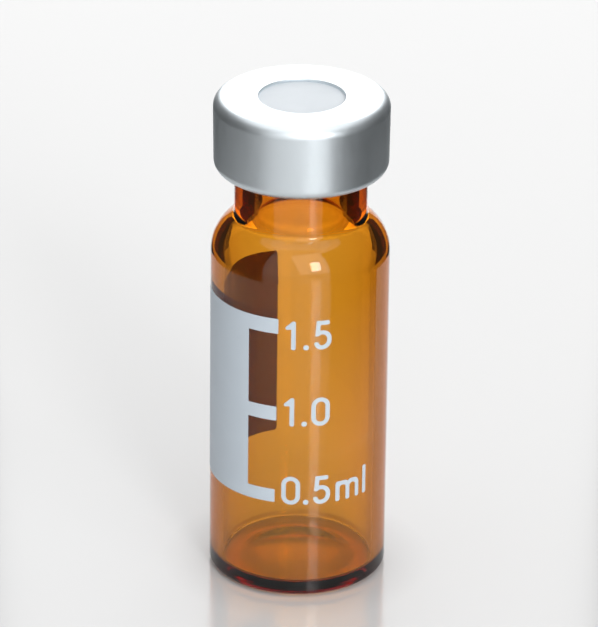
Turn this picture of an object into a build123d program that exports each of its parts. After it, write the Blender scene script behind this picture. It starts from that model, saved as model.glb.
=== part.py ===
from build123d import *

import math
import os

# Crimp-top sample vial. Sizes are in millimetres and degrees.
# The vial stands on z = 0 with its axis on Z, so the origin is the centre of its base.

# Glass body
vial_height = 32.0
body_diameter = 11.6
wall_thickness = 0.85
base_thickness = 0.8
base_hollow_depth = 0.3
foot_ring_width = 0.6
foot_ring_rounding = 1.0
heel_width = 1.4
heel_rise = 0.15
heel_radius = 0.4
inner_heel_radius = 0.35

# Shoulder and neck
shoulder_slope = 40.0
shoulder_wall = 1.15
shoulder_radius = 2.8
shoulder_inner_radius = 2.8
neck_diameter = 8.6
neck_wall = 1.3
neck_length = 3.4
neck_foot_radius = 0.5
neck_inner_radius = 0.8
neck_top_radius = 0.4

# Most of a slope's length that the roundings at its two ends may take
rounding_room = 0.95

# Crimp rim, which the cap is rolled under
rim_overhang = 1.1
rim_height = 3.52
rim_foot_radius = 0.44
rim_top_radius = 0.4
mouth_radius = 0.5

# Septum
septum_thickness = 1.0

# Crimp cap
cap_sheet = 0.2
cap_hole_diameter = 5.6
cap_corner_radius = 0.5
skirt_flare = 0.06

# Clearances between the pieces
rim_clearance = 0.04
septum_clearance = 0.05
lip_gap = 0.1

# Radii of the glass
body_radius = body_diameter / 2
inner_radius = body_radius - wall_thickness
neck_radius = neck_diameter / 2
bore_radius = neck_radius - neck_wall
rim_radius = neck_radius + rim_overhang
foot_ring_outer = body_radius - heel_width
foot_ring_inner = foot_ring_outer - foot_ring_width

# Heights of the glass
rim_underside = vial_height - rim_height
neck_foot = rim_underside - neck_length
slope_rise = math.tan(math.radians(shoulder_slope))
slope_run = math.cos(math.radians(shoulder_slope))
slope_wall = shoulder_wall / slope_run

# The cap follows the rim and the septum
cap_underside = vial_height + septum_thickness
cap_top = cap_underside + cap_sheet
cap_foot = rim_underside - rim_clearance - cap_sheet
cap_foot_radius = rim_radius + rim_clearance + cap_sheet
cap_top_radius = cap_foot_radius + skirt_flare
curl_radius = rim_foot_radius + rim_clearance + cap_sheet
lip_radius = neck_radius + neck_top_radius + lip_gap
septum_radius = cap_top_radius - cap_sheet - septum_clearance
septum_corner_radius = cap_corner_radius - cap_sheet


def shoulder_height(radius):
    """Height of the shoulder's outer slope at a radius, before its ends are rounded."""
    return neck_foot - (radius - neck_radius) * slope_rise


def slope_roundings(low_radius, high_radius, wide, narrow):
    """Radii at the slope's low and high end, no larger than the slope between them has room for."""
    length = (wide - narrow) / slope_run
    reach = (low_radius + high_radius) * math.tan(math.radians(90 - shoulder_slope) / 2)
    share = min(1, rounding_room * length / reach)
    return low_radius * share, high_radius * share


def vial():
    """Glass body: pushed-up base, straight wall, round shoulder, neck, crimp rim and open mouth."""
    outside = [
        (foot_ring_inner, 0),
        (foot_ring_outer, 0),
        (body_radius, heel_rise),
        (body_radius, shoulder_height(body_radius)),
        (neck_radius, neck_foot),
        (neck_radius, rim_underside),
        (rim_radius, rim_underside),
        (rim_radius, vial_height),
    ]
    inside = [
        (bore_radius, vial_height),
        (bore_radius, shoulder_height(bore_radius) - slope_wall),
        (inner_radius, shoulder_height(inner_radius) - slope_wall),
        (inner_radius, base_thickness),
        (0, base_thickness),
    ]
    shoulder, neck_bottom = slope_roundings(
        shoulder_radius, neck_foot_radius, body_radius, neck_radius
    )
    inner_shoulder, inner_neck = slope_roundings(
        shoulder_inner_radius, neck_inner_radius, inner_radius, bore_radius
    )
    outside_rounding = [
        foot_ring_rounding,
        heel_radius,
        shoulder,
        neck_bottom,
        neck_top_radius,
        rim_foot_radius,
        rim_top_radius,
    ]
    inside_rounding = [
        mouth_radius,
        inner_neck,
        inner_shoulder,
        inner_heel_radius,
    ]
    with BuildPart() as glass:
        with BuildSketch(Plane.XZ):
            with BuildLine():
                FilletPolyline(*outside, *inside, radius=outside_rounding + inside_rounding)
                Line((0, base_thickness), (0, base_hollow_depth))
                TangentArc((0, base_hollow_depth), (foot_ring_inner, 0), tangent=(1, 0))
            make_face()
        revolve(axis=Axis.Z)
    return glass.part


def septum():
    """Soft disc pressed flat between the glass rim and the cap, rounded where the cap's corner is."""
    with BuildPart() as disc:
        with Locations((0, 0, vial_height)):
            Cylinder(septum_radius, septum_thickness, align=(Align.CENTER, Align.CENTER, Align.MIN))
        fillet(disc.edges().group_by(Axis.Z)[-1], septum_corner_radius)
    return disc.part


def crimp_cap():
    """One drawn sheet: flat top with a round hole, straight skirt, and a foot rolled under the rim."""
    with BuildPart() as cap:
        with BuildSketch(Plane.XZ):
            with BuildLine():
                FilletPolyline(
                    (cap_hole_diameter / 2, cap_top),
                    (cap_top_radius, cap_top),
                    (cap_foot_radius, cap_foot),
                    (lip_radius, cap_foot),
                    radius=[cap_corner_radius, curl_radius],
                )
                offset(amount=cap_sheet, side=Side.RIGHT)
            make_face()
        revolve(axis=Axis.Z)
    return cap.part


os.makedirs("parts", exist_ok=True)
export_step(vial(), "parts/vial.step")
export_step(septum(), "parts/septum.step")
export_step(crimp_cap(), "parts/crimp_cap.step")
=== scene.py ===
"""Crimp-top sample vial: amber glass with an enamel scale, a pale septum and an aluminium cap.

Each piece is drawn as a rounded outline and turned round the vial's axis. Lengths are in metres.
"""

from math import asin, ceil, cos, pi, radians, sin, tan

import bmesh
import bpy
from bpy.props import FloatProperty, FloatVectorProperty, PointerProperty
from mathutils import Matrix, Vector


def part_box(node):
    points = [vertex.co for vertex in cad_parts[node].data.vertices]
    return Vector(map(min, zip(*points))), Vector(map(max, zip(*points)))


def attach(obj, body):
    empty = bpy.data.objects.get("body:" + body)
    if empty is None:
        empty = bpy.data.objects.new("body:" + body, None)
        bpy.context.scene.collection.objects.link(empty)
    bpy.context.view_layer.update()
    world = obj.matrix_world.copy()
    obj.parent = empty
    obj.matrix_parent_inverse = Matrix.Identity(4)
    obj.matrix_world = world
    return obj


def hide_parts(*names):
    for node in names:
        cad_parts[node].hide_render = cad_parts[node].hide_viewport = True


bl_info = {
    "name": "Crimp-top sample vial",
    "version": (1, 0, 0),
    "blender": (4, 5, 0),
    "location": "3D View > Sidebar > Vial",
    "description": "Builds an amber sample vial with its printed scale, septum, cap and studio",
    "category": "Add Mesh",
}

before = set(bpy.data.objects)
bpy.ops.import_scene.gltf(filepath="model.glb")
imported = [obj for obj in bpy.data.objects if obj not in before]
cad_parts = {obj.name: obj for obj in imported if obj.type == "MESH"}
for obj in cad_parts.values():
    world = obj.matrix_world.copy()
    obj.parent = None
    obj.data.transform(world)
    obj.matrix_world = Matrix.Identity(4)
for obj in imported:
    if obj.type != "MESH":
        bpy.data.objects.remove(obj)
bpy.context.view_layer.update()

MM = 0.001
BODY = "root"
ARC_STEP = radians(5)  # The most that one side of a rounding turns
STRAIGHT = radians(89.9)  # A corner whose half angle is more than this isn't rounded
MERGE = 0.0005 * MM  # Points nearer than this are one point
STROKE_END = 0.11 * MM  # Rounding at the ends of the printed strokes


# Settings


class GlassSettings(bpy.types.PropertyGroup):
    """Sizes and colour of the glass."""

    body_diameter: FloatProperty(
        name="Body diameter",
        description="Outside of the straight wall",
        default=11.6 * MM,
        unit="LENGTH",
    )
    wall: FloatProperty(
        name="Wall",
        description="Thickness of the straight wall and of the shoulder",
        default=0.85 * MM,
        unit="LENGTH",
    )
    height: FloatProperty(
        name="Height",
        description="Height of the glass to its mouth",
        default=32 * MM,
        unit="LENGTH",
    )
    neck_diameter: FloatProperty(
        name="Neck diameter",
        description="Outside of the neck",
        default=8.6 * MM,
        unit="LENGTH",
    )
    bore_diameter: FloatProperty(
        name="Bore",
        description="Inside of the neck",
        default=6 * MM,
        unit="LENGTH",
    )
    density: FloatProperty(
        name="Amber density",
        description="How strongly a metre of the glass absorbs light",
        default=2350.0,
        min=0.0,
    )
    tint: FloatVectorProperty(
        name="Amber tint",
        description="Colour that the glass lets through",
        default=(0.9255, 0.711, 0.021),
        size=3,
        subtype="COLOR",
    )


class CapSettings(bpy.types.PropertyGroup):
    """Sizes and colours of the cap and the septum under it."""

    sheet: FloatProperty(
        name="Sheet",
        description="Thickness of the aluminium sheet",
        default=0.2 * MM,
        unit="LENGTH",
    )
    hole: FloatProperty(
        name="Hole",
        description="Diameter of the hole over the septum",
        default=5.6 * MM,
        unit="LENGTH",
    )
    aluminium: FloatVectorProperty(
        name="Aluminium",
        description="Colour of the bare sheet",
        default=(0.785, 0.845, 0.88),
        size=3,
        subtype="COLOR",
    )
    silicone: FloatVectorProperty(
        name="Silicone",
        description="Colour of the septum",
        default=(0.79, 0.84, 0.885),
        size=3,
        subtype="COLOR",
    )


class PrintSettings(bpy.types.PropertyGroup):
    """Sizes and colour of the enamel print."""

    proud: FloatProperty(
        name="Proud",
        description="How far the enamel stands out of the glass",
        default=0.008 * MM,
        unit="LENGTH",
    )
    depth: FloatProperty(
        name="Depth",
        description="How deep the fired enamel sits in the glass",
        default=0.01 * MM,
        unit="LENGTH",
    )
    stroke: FloatProperty(
        name="Stroke",
        description="Width of the numerals' strokes",
        default=0.3 * MM,
        unit="LENGTH",
    )
    enamel: FloatVectorProperty(
        name="Enamel",
        description="Colour of the print",
        default=(0.7, 0.785, 0.865),
        size=3,
        subtype="COLOR",
    )


class StageSettings(bpy.types.PropertyGroup):
    """Where the camera is, and its lens."""

    distance: FloatProperty(
        name="Distance",
        description="From the lens to the vial",
        default=347.5 * MM,
        unit="LENGTH",
    )
    elevation: FloatProperty(
        name="Elevation",
        description="How far the camera looks down",
        default=radians(25.284),
        subtype="ANGLE",
    )
    roll: FloatProperty(
        name="Roll",
        description="How far the camera leans",
        default=radians(0.66),
        subtype="ANGLE",
    )
    lens: FloatProperty(
        name="Lens",
        description="Focal length on a 36 mm sensor",
        default=306.8,
        min=1.0,
    )


# Drawing and turning


def outline(bm, corners, closed=False):
    """Draws a line on the XZ plane through (x, z, rounding) corners, each rounded with a true arc.

    A closed line starts half way along its last side. The vertices come back in order.
    """
    places = [Vector((x, 0, z)) for x, z, _ in corners]
    radii = [r for _, _, r in corners]
    if closed:
        middle = (places[-1] + places[0]) / 2
        places = [middle, *places, middle]
        radii = [0, *radii, 0]
    tip = bm.verts.new(places[0])
    line = [tip]
    for before, here, after, radius in zip(places, places[1:], places[2:], radii[1:]):
        inward, onward = (before - here).normalized(), (after - here).normalized()
        half = inward.angle(onward) / 2
        if radius <= 0 or half > STRAIGHT:
            tip = step_to(bm, tip, here, line)
            continue
        reach = radius / tan(half)
        tip = step_to(bm, tip, here + inward * reach, line)
        turn = pi - 2 * half
        known = set(bm.verts)
        bmesh.ops.spin(
            bm,
            geom=[tip],
            cent=here + (inward + onward).normalized() * radius / sin(half),
            axis=onward.cross(inward).normalized(),
            angle=turn,
            steps=max(2, ceil(turn / ARC_STEP)),
        )
        line.extend(order_from(tip, set(bm.verts) - known))
        tip = line[-1]
    if closed:
        bm.edges.new((tip, line[0]))
    else:
        step_to(bm, tip, places[-1], line)
    return line


def order_from(tip, new):
    """The new vertices in the order in which their edges lead away from the tip."""
    ordered = []
    while new:
        tip = next(e.other_vert(tip) for e in tip.link_edges if e.other_vert(tip) in new)
        new.discard(tip)
        ordered.append(tip)
    return ordered


def step_to(bm, tip, place, line):
    """Carries the line straight on to a place, with a support point near each end of a long run."""
    run = place - tip.co
    support = 0.02 * MM
    stops = [place]
    if run.length > 8 * support:
        stops = [tip.co + run.normalized() * support, place - run.normalized() * support, place]
    elif run.length < MERGE:
        return tip
    for stop in stops:
        tip = bmesh.ops.extrude_vert_indiv(bm, verts=[tip])["verts"][0]
        tip.co = stop
        line.append(tip)
    return tip


def turn_round(bm, steps):
    """Turns the outline once round the Z axis, closes seam and poles, and faces it outwards."""
    about = {"cent": (0, 0, 0), "axis": (0, 0, 1)}
    bmesh.ops.spin(bm, geom=bm.verts[:] + bm.edges[:], angle=pi / 2, steps=steps // 4, **about)
    quarter = bm.verts[:] + bm.edges[:] + bm.faces[:]
    bmesh.ops.spin(bm, geom=quarter, angle=3 * pi / 2, steps=3, use_duplicate=True, **about)
    bmesh.ops.remove_doubles(bm, verts=bm.verts, dist=MERGE)
    bmesh.ops.recalc_face_normals(bm, faces=bm.faces)


def add_mesh(name, bm, material):
    """Puts the mesh in the scene as an object with one material."""
    mesh = bpy.data.meshes.new(name)
    bm.to_mesh(mesh)
    bm.free()
    mesh.materials.append(material)
    made = bpy.data.objects.new(name, mesh)
    bpy.context.scene.collection.objects.link(made)
    return made


def finish_piece(name, bm, material, node=None):
    """Makes a smooth shaded piece of the mesh and ties it to the frame."""
    for face in bm.faces:
        face.smooth = True
    piece = add_mesh(name, bm, material)
    piece.data.set_sharp_from_angle(angle=radians(40))
    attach(piece, BODY)
    if node:
        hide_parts(node)


# Materials


def new_material(name):
    """An empty node material with its Principled shader and output linked."""
    material = bpy.data.materials.new(name)
    material.use_nodes = True
    tree = material.node_tree
    return material, tree, tree.nodes["Principled BSDF"], tree.nodes["Material Output"]


def link(tree, *pairs):
    """Links each pair of sockets, from output to input."""
    for start, end in pairs:
        tree.links.new(start, end)


def object_coordinates(tree):
    """The place on the piece, in metres from the vial's foot."""
    return tree.nodes.new("ShaderNodeTexCoord").outputs["Object"]


def combine(tree, operation, first, second):
    """A Math node between two values."""
    node = tree.nodes.new("ShaderNodeMath")
    node.operation = operation
    link(tree, (first, node.inputs[0]), (second, node.inputs[1]))
    return node.outputs["Value"]


def spread(tree, value, low, high, start=0.3, end=0.7):
    """Maps a value's middle range on to another range, given as numbers or as sockets."""
    node = tree.nodes.new("ShaderNodeMapRange")
    node.inputs["From Min"].default_value = start
    node.inputs["From Max"].default_value = end
    link(tree, (value, node.inputs["Value"]))
    for name, limit in (("To Min", low), ("To Max", high)):
        if isinstance(limit, bpy.types.NodeSocket):
            link(tree, (limit, node.inputs[name]))
        else:
            node.inputs[name].default_value = limit
    return node.outputs["Result"]


def noise(tree, coordinates, scale):
    """Soft noise whose scale comes from a socket."""
    texture = tree.nodes.new("ShaderNodeTexNoise")
    texture.inputs["Detail"].default_value = 4
    link(tree, (coordinates, texture.inputs["Vector"]), (scale, texture.inputs["Scale"]))
    return texture.outputs["Fac"]


def uneven_finish():
    """The node group of every finish: clouds of two colours, and a grain in gloss and relief."""
    if "uneven_finish" in bpy.data.node_groups:
        return bpy.data.node_groups["uneven_finish"]
    tree = bpy.data.node_groups.new("uneven_finish", "ShaderNodeTree")
    sockets = {
        "INPUT": {
            "Pale": "Color",
            "Dull": "Color",
            "Cloud Scale": "Float",
            "Grain Scale": "Float",
            "Grain Stretch": "Vector",
            "Smoothest": "Float",
            "Roughest": "Float",
            "Relief": "Float",
            "Depth": "Float",
        },
        "OUTPUT": {"Color": "Color", "Roughness": "Float", "Normal": "Vector"},
    }
    for side, wanted in sockets.items():
        for name, kind in wanted.items():
            tree.interface.new_socket(name=name, in_out=side, socket_type="NodeSocket" + kind)
    given = tree.nodes.new("NodeGroupInput").outputs
    made = tree.nodes.new("NodeGroupOutput").inputs
    coordinates = object_coordinates(tree)
    clouds = noise(tree, coordinates, given["Cloud Scale"])
    mapping = tree.nodes.new("ShaderNodeMapping")
    grain = noise(tree, mapping.outputs["Vector"], given["Grain Scale"])
    shade = tree.nodes.new("ShaderNodeMix")
    shade.data_type = "RGBA"
    bump = tree.nodes.new("ShaderNodeBump")
    link(
        tree,
        (coordinates, mapping.inputs["Vector"]),
        (given["Grain Stretch"], mapping.inputs["Scale"]),
        (clouds, shade.inputs["Factor"]),
        (given["Dull"], shade.inputs["A"]),
        (given["Pale"], shade.inputs["B"]),
        (grain, bump.inputs["Height"]),
        (given["Relief"], bump.inputs["Strength"]),
        (given["Depth"], bump.inputs["Distance"]),
        (shade.outputs["Result"], made["Color"]),
        (spread(tree, grain, given["Smoothest"], given["Roughest"]), made["Roughness"]),
        (bump.outputs["Normal"], made["Normal"]),
    )
    return tree


def place_finish(tree, shader, values, pale=None, dull=1.0):
    """Places the shared finish in a material with its own values, by the names of the inputs.

    The clouds run from the pale colour to a share of it, dull. Without a pale colour the finish
    drives only gloss and relief.
    """
    node = tree.nodes.new("ShaderNodeGroup")
    node.node_tree = uneven_finish()
    for name, value in values.items():
        node.inputs[name].default_value = value
    for name in ("Roughness", "Normal"):
        link(tree, (node.outputs[name], shader.inputs[name]))
    if pale:
        node.inputs["Pale"].default_value = (*pale, 1)
        node.inputs["Dull"].default_value = (*(c * dull for c in pale), 1)
        link(tree, (node.outputs["Color"], shader.inputs["Base Color"]))


def amber_glass(settings):
    """Clear amber tube glass: fire polished, with the faint long waves of drawn tube."""
    material, tree, shader, output = new_material("amber_glass")
    shader.inputs["Base Color"].default_value = (1, 1, 1, 1)
    shader.inputs["Transmission Weight"].default_value = 1
    shader.inputs["IOR"].default_value = 1.5
    finish = {
        "Grain Scale": 900,
        "Grain Stretch": (1, 1, 0.05),
        "Smoothest": 0.0,
        "Roughest": 0.015,
        "Relief": 0.06,
        "Depth": 0.02 * MM,
    }
    place_finish(tree, shader, finish)
    absorption = tree.nodes.new("ShaderNodeVolumeAbsorption")
    absorption.inputs["Color"].default_value = (*settings.tint, 1)
    absorption.inputs["Density"].default_value = settings.density
    link(tree, (absorption.outputs["Volume"], output.inputs["Volume"]))
    return material


def satin_aluminium(settings):
    """Satin sheet aluminium with the fine grain of drawing and rolling."""
    material, tree, shader, _ = new_material("satin_aluminium")
    shader.inputs["Metallic"].default_value = 1
    finish = {
        "Cloud Scale": 350,
        "Grain Scale": 3000,
        "Grain Stretch": (1, 1, 0.3),
        "Smoothest": 0.43,
        "Roughest": 0.48,
        "Relief": 0.1,
        "Depth": 0.004 * MM,
    }
    place_finish(tree, shader, finish, pale=settings.aluminium, dull=0.94)
    return material


def pale_silicone(settings):
    """Matt pale silicone with a soft mottle."""
    material, tree, shader, _ = new_material("pale_silicone")
    shader.inputs["IOR"].default_value = 1.41
    finish = {
        "Cloud Scale": 1200,
        "Grain Scale": 1500,
        "Grain Stretch": (1, 1, 1),
        "Smoothest": 0.45,
        "Roughest": 0.6,
        "Relief": 0.2,
        "Depth": 0.01 * MM,
    }
    place_finish(tree, shader, finish, pale=settings.silicone, dull=0.95)
    return material


def fired_enamel(settings):
    """Opaque pale blue-grey enamel, screen printed and fired: slightly uneven and half gloss."""
    material, tree, shader, _ = new_material("fired_enamel")
    finish = {
        "Cloud Scale": 500,
        "Grain Scale": 5000,
        "Grain Stretch": (1, 1, 1),
        "Smoothest": 0.38,
        "Roughest": 0.5,
        "Relief": 0.15,
        "Depth": 0.004 * MM,
    }
    place_finish(tree, shader, finish, pale=settings.enamel, dull=0.93)
    return material


# Pieces


class VIAL_OT_glass_body(bpy.types.Operator):
    """Turn the glass body with its pushed-up base, shoulder, neck and crimp rim"""

    bl_idname = "vial.glass_body"
    bl_label = "Glass body"

    def execute(self, context):
        settings = context.scene.vial_glass
        wall = settings.wall
        top = settings.height
        body = settings.body_diameter / 2
        neck = settings.neck_diameter / 2
        bore = settings.bore_diameter / 2
        inner = body - wall
        rim = neck + 1.1 * MM
        rim_underside = top - 3.52 * MM
        neck_foot = rim_underside - 3.4 * MM
        shoulder_slope = radians(40)
        base_thickness = 0.8 * MM
        heel_rise = 0.15 * MM
        foot_ring_outer = body - 1.4 * MM
        foot_ring_inner = foot_ring_outer - 0.6 * MM
        base_hollow = 0.3 * MM

        inner_heel_radius = 0.35 * MM
        shoulder_inner_radius = 2.2 * MM
        neck_inner_radius = 1.7 * MM
        mouth_radius = 0.5 * MM
        rim_top_radius = 0.4 * MM
        rim_foot_radius = 0.44 * MM
        neck_top_radius = 0.4 * MM
        neck_foot_radius = 0.5 * MM
        shoulder_radius = 2.8 * MM
        heel_radius = 0.4 * MM
        foot_ring_rounding = 1 * MM

        def outside(radius):
            """Height of the shoulder's outer slope at a radius, before its ends are rounded."""
            return neck_foot - (radius - neck) * tan(shoulder_slope)

        def inside(radius):
            """Height of the shoulder's inner slope, one wall further in."""
            return outside(radius) - wall / cos(shoulder_slope)

        bm = bmesh.new()
        line = outline(
            bm,
            [
                (0, base_thickness, 0),
                (inner, base_thickness, inner_heel_radius),
                (inner, inside(inner), shoulder_inner_radius),
                (bore, inside(bore), neck_inner_radius),
                (bore, top, mouth_radius),
                (rim, top, rim_top_radius),
                (rim, rim_underside, rim_foot_radius),
                (neck, rim_underside, neck_top_radius),
                (neck, neck_foot, neck_foot_radius),
                (body, outside(body), shoulder_radius),
                (body, heel_rise, heel_radius),
                (foot_ring_outer, 0, foot_ring_rounding),
                (foot_ring_inner, 0, 0),
            ],
        )
        dome = (foot_ring_inner**2 + base_hollow**2) / (2 * base_hollow)
        bmesh.ops.spin(
            bm,
            geom=[line[-1]],
            cent=(0, 0, base_hollow - dome),
            axis=(0, -1, 0),
            angle=asin(foot_ring_inner / dome),
            steps=8,
        )
        turn_round(bm, steps=256)
        finish_piece("glass_body", bm, amber_glass(settings), "vial")
        return {"FINISHED"}


class VIAL_OT_septum(bpy.types.Operator):
    """Turn the soft disc that lies on the glass rim"""

    bl_idname = "vial.septum"
    bl_label = "Septum"

    def execute(self, context):
        settings = context.scene.vial_cap
        low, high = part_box("septum")
        cut_radius = 0.05 * MM
        corner_radius = 0.5 * MM
        bm = bmesh.new()
        outline(
            bm,
            [
                (0, low.z, 0),
                (high.x, low.z, cut_radius),
                (high.x, high.z, corner_radius),
                (0, high.z, 0),
            ],
        )
        turn_round(bm, steps=192)
        finish_piece("septum_disc", bm, pale_silicone(settings), "septum")
        return {"FINISHED"}


class VIAL_OT_crimp_cap(bpy.types.Operator):
    """Turn the drawn cap with its hole, skirt and rolled foot"""

    bl_idname = "vial.crimp_cap"
    bl_label = "Crimp cap"

    def execute(self, context):
        settings = context.scene.vial_cap
        sheet = settings.sheet
        hole = settings.hole / 2
        low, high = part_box("crimp_cap")
        top, foot = high.z, low.z
        flare = 0.06 * MM
        wide = 5.7 * MM
        narrow = wide - flare
        lip = 4.8 * MM
        lean = flare / (top - foot)
        corner_radius = 0.7 * MM
        curl_radius = 0.68 * MM
        cut_radius = 0.06 * MM
        bm = bmesh.new()
        outline(
            bm,
            [
                (hole, top, cut_radius),
                (wide, top, corner_radius),
                (narrow, foot, curl_radius),
                (lip, foot, cut_radius),
                (lip, foot + sheet, cut_radius),
                (narrow - sheet + sheet * lean, foot + sheet, curl_radius - sheet),
                (wide - sheet - sheet * lean, top - sheet, corner_radius - sheet),
                (hole, top - sheet, cut_radius),
            ],
            closed=True,
        )
        turn_round(bm, steps=256)
        finish_piece("crimped_cap", bm, satin_aluminium(settings), "crimp_cap")
        return {"FINISHED"}


# Print
#
# It is drawn flat: x runs round the wall and z up it. w is a stroke's width, h a numeral's height.


def fill_outline(bm, corners, hole=None):
    """Fills a closed outline, or bridges it to a second one inside it."""
    rim = outline(bm, corners, closed=True)
    if hole is None:
        bm.faces.new(rim)
        return
    inside = outline(bm, hole, closed=True)
    edges = dict.fromkeys(e for v in rim + inside for e in v.link_edges)
    bmesh.ops.bridge_loops(bm, edges=list(edges))


def racetrack(x0, z0, x1, z1):
    """An upright loop whose ends are round, short of meeting in a point."""
    r = (x1 - x0) / 2 * 0.995
    return [(x1, z0, r), (x1, z1, r), (x0, z1, r), (x0, z0, r)]


def zero(x, z, w, h):
    """The outline and the hole of a 0. x is its left end."""
    right = x + 1.23 * MM
    return racetrack(x, z, right, z + h), racetrack(x + w, z + w, right - w, z + h - w)


def numeral_one(x, z, w, h):
    """The outline of a 1. x is the right side of its stem."""
    middle = x - w / 2
    return [
        (x - w, z, STROKE_END),
        (x, z, STROKE_END),
        (x, z + h, STROKE_END),
        (middle - 0.06 * MM, z + h, 0.08 * MM),
        (middle - 0.53 * MM, z + h - 0.44 * MM, 0.05 * MM),
        (middle - 0.5 * MM, z + h - 0.62 * MM, 0.08 * MM),
        (x - w, z + h - 0.58 * MM, 0.03 * MM),
    ]


def numeral_five(x, z, w, h):
    """The outline of a 5. x is its left end."""
    flag = x + 1.0 * MM
    bowl = x + 1.14 * MM
    shoulder = z + 1.36 * MM
    return [
        (x + 0.13 * MM, z + h, 0.05 * MM),
        (flag, z + h, 0.1 * MM),
        (flag, z + h - w, 0.1 * MM),
        (x + 0.4 * MM, z + h - w, 0.03 * MM),
        (x + 0.37 * MM, z + 1.34 * MM, 0.03 * MM),
        (bowl, shoulder, 0.6 * MM),
        (bowl, z, 0.62 * MM),
        (x, z, 0.5 * MM),
        (x - 0.02 * MM, z + 0.54 * MM, 0.12 * MM),
        (x + 0.28 * MM, z + 0.54 * MM, 0.1 * MM),
        (x + 0.3 * MM, z + w, 0.2 * MM),
        (bowl - w, z + w, 0.34 * MM),
        (bowl - w, shoulder - w, 0.34 * MM),
        (x + 0.35 * MM, shoulder - w, 0.2 * MM),
        (x + 0.3 * MM, z + 0.95 * MM, 0.08 * MM),
        (x + 0.05 * MM, z + 0.93 * MM, 0.08 * MM),
    ]


def letter_m(x, z, w):
    """The outline of a small m. x is its left end."""
    h = 1.42 * MM
    gap = 0.75 * MM
    arch = 0.2 * MM
    return [
        (x, z, STROKE_END),
        (x + w, z, STROKE_END),
        (x + w, z + h - w, arch),
        (x + gap, z + h - w, arch),
        (x + gap, z, STROKE_END),
        (x + gap + w, z, STROKE_END),
        (x + gap + w, z + h - w, arch),
        (x + 2 * gap, z + h - w, arch),
        (x + 2 * gap, z, STROKE_END),
        (x + 2 * gap + w, z, STROKE_END),
        (x + 2 * gap + w, z + h, 0.42 * MM),
        (x + gap + w * 0.9, z + h, 0.3 * MM),
        (x + gap + w * 0.55, z + h - 0.12 * MM, 0.02 * MM),
        (x + gap + w * 0.2, z + h, 0.3 * MM),
        (x, z + h, 0.2 * MM),
    ]


def letter_l(x, z, w, h):
    """The outline of a small l. x is its left side."""
    corners = [(x, z), (x + w, z), (x + w, z + h), (x, z + h)]
    return [(*corner, STROKE_END) for corner in corners]


def full_stop(x, z):
    """The outline of a full stop. x is its middle."""
    a, r = 0.18 * MM, 0.16 * MM
    return [(x - a, z, r), (x + a, z, r), (x + a, z + 2 * a, r), (x - a, z + 2 * a, r)]


def wrap_on_wall(bm, radius, depth, proud):
    """Cuts the flat print into strips, gives it its thickness and bends it round the wall."""
    across = [v.co.x for v in bm.verts]
    strip = 0.12 * MM
    snap = 0.00001 * MM
    x, end = min(across) + strip, max(across)
    while x < end:
        bmesh.ops.bisect_plane(
            bm,
            geom=bm.verts[:] + bm.edges[:] + bm.faces[:],
            plane_co=(x, 0, 0),
            plane_no=(1, 0, 0),
            dist=snap,
        )
        x += strip
    thick = bmesh.ops.extrude_face_region(bm, geom=bm.faces[:])["geom"]
    raised = [v for v in thick if isinstance(v, bmesh.types.BMVert)]
    bmesh.ops.translate(bm, verts=raised, vec=(0, -(depth + proud), 0))
    bmesh.ops.recalc_face_normals(bm, faces=bm.faces)
    for v in bm.verts:
        angle = v.co.x / radius
        r = radius - depth - v.co.y
        v.co = (r * sin(angle), -r * cos(angle), v.co.z)


class VIAL_OT_printed_scale(bpy.types.Operator):
    """Print the write-on patch, the three marks and their numerals on the glass"""

    bl_idname = "vial.printed_scale"
    bl_label = "Printed scale"

    def execute(self, context):
        settings = context.scene.vial_print
        radius = context.scene.vial_glass.body_diameter / 2
        enamel = fired_enamel(settings)

        def at(angle):
            """The place on the flat print of an angle round the wall, from the front."""
            return radius * radians(angle)

        # Each mark's lower and upper edge in millimetres, and its right end in degrees
        marks = [(19.03, 20.08, -13.4), (12.83, 13.83, -14.2), (6.92, 7.85, -14.9)]
        left, right = at(-163.5), at(-33.9)
        edge = 0.06 * MM
        patch = [(left, marks[-1][0] * MM, 4 * edge), (left, marks[0][1] * MM, 4 * edge)]
        for low, high, end in marks:
            arm = [(right, high), (at(end), high), (at(end), low), (right, low)]
            patch += [(x, z * MM, edge) for x, z in arm]
        bm = bmesh.new()
        fill_outline(bm, patch[::-1])
        wrap_on_wall(bm, radius, settings.depth, settings.proud)
        finish_piece("write_on_patch", bm, enamel)

        w, h = settings.stroke, 2.03 * MM
        upper, middle, lower = 17.96 * MM, 12.5 * MM, 6.83 * MM
        bm = bmesh.new()
        fill_outline(bm, numeral_one(at(-2.2), upper, w, h))
        fill_outline(bm, full_stop(at(4.4), upper))
        fill_outline(bm, numeral_five(at(9.6), upper, w, h))
        fill_outline(bm, numeral_one(at(-2.7), middle, w, h))
        fill_outline(bm, full_stop(at(3.7), middle))
        fill_outline(bm, *zero(at(8.2), middle, w, h))
        fill_outline(bm, *zero(at(-10.5), lower, w, h))
        fill_outline(bm, full_stop(at(5.3), lower))
        fill_outline(bm, numeral_five(at(10.1), lower, w, h))
        fill_outline(bm, letter_m(at(25.1), lower, w))
        fill_outline(bm, letter_l(at(46.4), lower, w, h))
        wrap_on_wall(bm, radius, settings.depth, settings.proud)
        finish_piece("scale_numerals", bm, enamel)
        return {"FINISHED"}


# Stage


def directly_seen(tree):
    """1 for camera, glossy and transmission rays, and 0 for the rest, which light the vial."""
    path = tree.nodes.new("ShaderNodeLightPath").outputs
    sharp = combine(tree, "MAXIMUM", path["Is Camera Ray"], path["Is Glossy Ray"])
    return combine(tree, "MAXIMUM", sharp, path["Is Transmission Ray"])


def aim(place, target):
    """Turns an object's -Z axis from a place towards a target."""
    return (Vector(target) - Vector(place)).to_track_quat("-Z", "Y").to_matrix().to_4x4()


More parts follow.
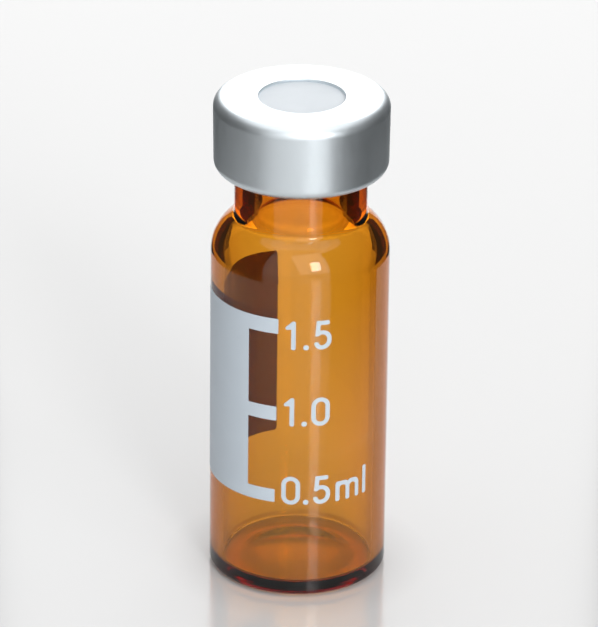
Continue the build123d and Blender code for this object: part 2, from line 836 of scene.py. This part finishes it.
def add_softbox(name, place, width, height, radiance):
    """A rectangular lamp turned to the vial. The radiance is its face's brightness: 1 is white."""
    light = bpy.data.lights.new(name, "AREA")
    light.shape = "RECTANGLE"
    light.size = width
    light.size_y = height
    light.energy = radiance * pi * width * height
    lamp = bpy.data.objects.new(name, light)
    lamp.matrix_world = Matrix.Translation(place) @ aim(place, (0, 0, 20 * MM))
    bpy.context.scene.collection.objects.link(lamp)


def add_painted_reflection_card(name, start, end, radius, height, axis, fade):
    """A glowing card curved round the vial, between two angles, that shows only in gloss and
    through the glass: it paints dark reflections on the cap, the glass and the floor, and dark
    places seen through the glass.

    The fade is two pairs of a place along the axis and how bright the card is there, so the painted
    reflection grades from one level to the other.
    """
    bm = bmesh.new()
    foot = bm.verts.new((radius * sin(radians(start)), -radius * cos(radians(start)), 0))
    head = bm.verts.new(foot.co + Vector((0, 0, height)))
    edge = bm.edges.new((foot, head))
    bmesh.ops.spin(
        bm,
        geom=[foot, head, edge],
        cent=(0, 0, 0),
        axis=(0, 0, 1),
        angle=radians(end - start),
        steps=24,
    )
    material, tree, shader, output = new_material(name)
    tree.nodes.remove(shader)
    glow = tree.nodes.new("ShaderNodeEmission")
    split = tree.nodes.new("ShaderNodeSeparateXYZ")
    (place, level), (other_place, other_level) = fade
    shown = spread(tree, split.outputs[axis], level, other_level, place, other_place)
    link(
        tree,
        (object_coordinates(tree), split.inputs["Vector"]),
        (shown, glow.inputs["Strength"]),
        (glow.outputs["Emission"], output.inputs["Surface"]),
    )
    card = add_mesh(name, bm, material)
    card.visible_camera = False
    card.visible_diffuse = False
    card.visible_shadow = False


def pale_floor():
    """Glossy pale floor that glows for the rays that see it, with the glow cut out close round the
    vial as a painted contact shadow.
    """
    material, tree, shader, output = new_material("pale_floor")
    shader.inputs["Base Color"].default_value = (0.6, 0.6, 0.6, 1)
    shader.inputs["Roughness"].default_value = 0.15
    glow = tree.nodes.new("ShaderNodeEmission")
    glow.inputs["Color"].default_value = (1, 1, 1, 1)
    distance = tree.nodes.new("ShaderNodeVectorMath")
    distance.operation = "LENGTH"
    # Painted contact shadow: the glow is 0 within 4 mm of the vial's axis and rises to full by 9 mm
    away = spread(tree, distance.outputs["Value"], 0, 0.12, 4 * MM, 9 * MM)
    both = tree.nodes.new("ShaderNodeAddShader")
    link(
        tree,
        (object_coordinates(tree), distance.inputs[0]),
        (combine(tree, "MULTIPLY", directly_seen(tree), away), glow.inputs["Strength"]),
        (shader.outputs["BSDF"], both.inputs[0]),
        (glow.outputs["Emission"], both.inputs[1]),
        (both.outputs["Shader"], output.inputs["Surface"]),
    )
    return material


def add_floor():
    """A wide floor, just under the foot ring so that the two don't share a plane."""
    bm = bmesh.new()
    bmesh.ops.create_grid(bm, x_segments=1, y_segments=1, size=3)
    bmesh.ops.translate(bm, verts=bm.verts, vec=(0, 0, -0.01 * MM))
    add_mesh("floor", bm, pale_floor())


def add_world():
    """White surroundings, bright where they are seen and softer as light on the vial."""
    world = bpy.data.worlds.new("studio")
    world.use_nodes = True
    tree = world.node_tree
    background = tree.nodes["Background"].inputs
    background["Color"].default_value = (1, 1, 1, 1)
    level = spread(tree, directly_seen(tree), 0.38, 0.95, start=0, end=1)
    link(tree, (level, background["Strength"]))
    bpy.context.scene.world = world


def add_camera(settings):
    """The photo's camera, as the vial's edges give it."""
    camera = bpy.data.cameras.new("camera")
    camera.lens = settings.lens
    camera.clip_start = 0.01
    camera.clip_end = 50
    shot = bpy.data.objects.new("camera", camera)
    target = Vector((-0.037 * MM, 0, 17.829 * MM))
    away = Vector((0, -cos(settings.elevation), sin(settings.elevation)))
    place = target + settings.distance * away
    lean = Matrix.Rotation(settings.roll, 4, "Z")
    shot.matrix_world = Matrix.Translation(place) @ aim(place, target) @ lean
    bpy.context.scene.collection.objects.link(shot)
    bpy.context.scene.camera = shot


class VIAL_OT_studio(bpy.types.Operator):
    """Set the floor, the lamps, the cards that paint reflections, the world and the camera"""

    bl_idname = "vial.studio"
    bl_label = "Studio"

    def execute(self, context):
        add_floor()

        around, away = radians(21), 0.9
        strip = (away * sin(around), -away * cos(around), 0.44)
        add_softbox("strip_lamp", strip, width=0.2, height=0.4, radiance=11)
        add_softbox("fill_lamp", (0.35, -0.75, 0.55), width=1.0, height=1.0, radiance=1.15)
        add_softbox("top_lamp", (0, 0.1, 0.9), width=0.9, height=0.9, radiance=0.6)
        add_softbox("back_lamp", (0, 1.2, 0.56), width=1.6, height=0.8, radiance=1.6)

        # Painted reflections: cards seen only in gloss and through the glass darken the sides of
        # the cap and glass, and the low right card paints a reflection that is bright at its foot
        # and dark above
        large = {"radius": 0.055, "height": 0.1, "axis": "Y"}
        add_painted_reflection_card("left_painted_reflection", -155, -45, fade=((0.044, 0.05), (-0.033, 0.1)), **large)
        add_painted_reflection_card("right_painted_reflection", 36, 155, fade=((0.044, 0.05), (-0.033, 0.05)), **large)
        small = {"radius": 0.025, "height": 0.02, "axis": "Z"}
        add_painted_reflection_card("low_right_painted_reflection", 36, 105, fade=((0, 0.8), (0.012, 0.03)), **small)

        add_world()
        add_camera(context.scene.vial_stage)
        context.scene.view_settings.view_transform = "Standard"
        return {"FINISHED"}


class VIAL_PT_build(bpy.types.Panel):
    """Buttons that build the vial and its studio"""

    bl_idname = "VIAL_PT_build"
    bl_label = "Sample vial"
    bl_space_type = "VIEW_3D"
    bl_region_type = "UI"
    bl_category = "Vial"

    def draw(self, context):
        for piece in PIECES:
            self.layout.operator(piece.bl_idname)


SETTINGS = {
    "vial_glass": GlassSettings,
    "vial_cap": CapSettings,
    "vial_print": PrintSettings,
    "vial_stage": StageSettings,
}
PIECES = (
    VIAL_OT_glass_body,
    VIAL_OT_septum,
    VIAL_OT_crimp_cap,
    VIAL_OT_printed_scale,
    VIAL_OT_studio,
)


def register():
    for name, group in SETTINGS.items():
        bpy.utils.register_class(group)
        setattr(bpy.types.Scene, name, PointerProperty(type=group))
    for piece in PIECES:
        bpy.utils.register_class(piece)
    bpy.utils.register_class(VIAL_PT_build)


def unregister():
    bpy.utils.unregister_class(VIAL_PT_build)
    for piece in reversed(PIECES):
        bpy.utils.unregister_class(piece)
    for name, group in SETTINGS.items():
        delattr(bpy.types.Scene, name)
        bpy.utils.unregister_class(group)


def main():
    register()
    bpy.ops.vial.glass_body()
    bpy.ops.vial.septum()
    bpy.ops.vial.crimp_cap()
    bpy.ops.vial.printed_scale()
    bpy.ops.vial.studio()


if __name__ == "__main__":
    main()
